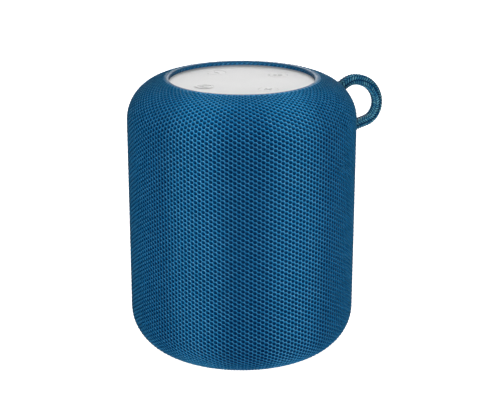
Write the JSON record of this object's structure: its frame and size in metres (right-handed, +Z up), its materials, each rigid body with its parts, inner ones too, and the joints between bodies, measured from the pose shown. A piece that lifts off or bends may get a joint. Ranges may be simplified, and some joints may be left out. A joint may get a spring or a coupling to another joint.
{
  "type": "portable bluetooth speaker",
  "caption": "Palm-sized upright cylindrical wireless speaker in a blue knitted sleeve, with a recessed pale key panel, a braided carrying loop and a rear socket flap.",
  "frame": {"origin": "centre of the rubber foot's underside, on the surface that the speaker stands on", "axes": "+Z up along the body's axis; -Y is the front, where the play key is; +Y is the rear, with the carrying loop and the socket flap; +X is the side of the volume-up key"},
  "size_m": [0.079, 0.1025, 0.0972],
  "materials": {
    "fabric_blue": "knitted polyester mesh",
    "cord_blue": "round braid",
    "shell_navy": "matt moulded",
    "panel_grey": "soft-touch matt",
    "key_grey": "soft-touch matt",
    "black_plastic": "fine moulded grain",
    "box_plastic": "moulded",
    "flap_rubber": "matt silicone",
    "foot_rubber": "matt rubber",
    "surround_rubber": "satin rubber",
    "screw_steel": "zinc plated",
    "socket_steel": "bright nickel",
    "basket_steel": "black stamped steel",
    "pole_steel": "zinc plated",
    "ferrite": "ground ferrite",
    "copper_coil": "enamelled winding",
    "spider_cloth": "resin cloth",
    "cone_paper": "pressed pulp",
    "board_green": "solder mask",
    "ribbon_amber": "polyimide film",
    "chip_black": "moulded epoxy",
    "cell_silver": "foil pouch",
    "foam_black": "open foam",
    "lead_red": "wire insulation",
    "lead_black": "wire insulation",
    "led_clear": "clear lens",
    "mic_brass": "plated can",
    "fibre_brown": "fibre board"
  },
  "bodies": {
    "housing": {"fabric_sleeve": "fabric_blue", "grille_shell": "shell_navy", "lower_shell": "shell_navy", "shell_screws": "screw_steel", "top_panel": "panel_grey", "key_board": "board_green", "tact_switches": "chip_black", "status_led": "led_clear", "microphone": "mic_brass", "key_board_screws": "screw_steel", "key_ribbon": "ribbon_amber", "lanyard_loop": "cord_blue", "lanyard_eyelets": "black_plastic", "lanyard_stops": "screw_steel", "port_bay": "black_plastic", "chassis_tub": "box_plastic", "chassis_lid": "box_plastic", "chassis_seal": "foam_black", "lid_screws": "screw_steel", "chassis_screws": "screw_steel", "damper_pads": "foam_black", "sound_deflector": "box_plastic", "driver_gasket": "foam_black", "driver_basket": "basket_steel", "driver_screws": "screw_steel", "driver_terminals": "fibre_brown", "magnet": "ferrite", "top_plate": "pole_steel", "yoke": "pole_steel", "spider": "spider_cloth", "surround": "surround_rubber", "radiator_frame": "box_plastic", "radiator_surround": "surround_rubber", "radiator_screws": "screw_steel", "battery_tray": "box_plastic", "battery_pack": "cell_silver", "battery_foam": "foam_black", "battery_lead": "lead_red", "speaker_leads": "lead_black", "main_board": "board_green", "board_screws": "screw_steel", "usb_socket": "socket_steel", "aux_socket": "chip_black", "board_chips": "chip_black", "board_inductors": "chip_black", "base_plate": "black_plastic", "base_screws": "screw_steel", "foot_ring": "foot_rubber"},
    "play_key": {"play_key": "key_grey"},
    "power_key": {"power_key": "key_grey"},
    "plus_key": {"plus_key": "key_grey"},
    "minus_key": {"minus_key": "key_grey"},
    "driver_cone": {"cone": "cone_paper", "voice_coil": "copper_coil", "dust_cap": "cone_paper"},
    "radiator": {"radiator_plate": "pole_steel"},
    "flap": {"port_flap": "flap_rubber"}
  },
  "joints": [
    {"name": "play_key_press", "type": "slide", "parent": "housing", "child": "play_key", "axis": [0, 0, -1], "range_m": [0, 0.0004], "stiffness_N_per_m": 2000},
    {"name": "power_key_press", "type": "slide", "parent": "housing", "child": "power_key", "axis": [0, 0, -1], "range_m": [0, 0.0004], "stiffness_N_per_m": 2000},
    {"name": "plus_key_press", "type": "slide", "parent": "housing", "child": "plus_key", "axis": [0, 0, -1], "range_m": [0, 0.0004], "stiffness_N_per_m": 2000},
    {"name": "minus_key_press", "type": "slide", "parent": "housing", "child": "minus_key", "axis": [0, 0, -1], "range_m": [0, 0.0004], "stiffness_N_per_m": 2000},
    {"name": "cone_travel", "type": "slide", "parent": "housing", "child": "driver_cone", "axis": [0, 0, 1], "range_m": [-0.002, 0.002], "stiffness_N_per_m": 900, "deforming": ["surround", "spider"]},
    {"name": "radiator_travel", "type": "slide", "parent": "housing", "child": "radiator", "axis": [0, 0, 1], "range_m": [-0.002, 0.002], "stiffness_N_per_m": 600, "deforming": ["radiator_surround"]},
    {"name": "flap_hinge", "type": "hinge", "parent": "housing", "child": "flap", "pos_m": [0, 0.0376, 0.02345], "axis": [-1, 0, 0], "range_deg": [0, 100], "stiffness_Nm_per_rad": 0.002}
  ]
}
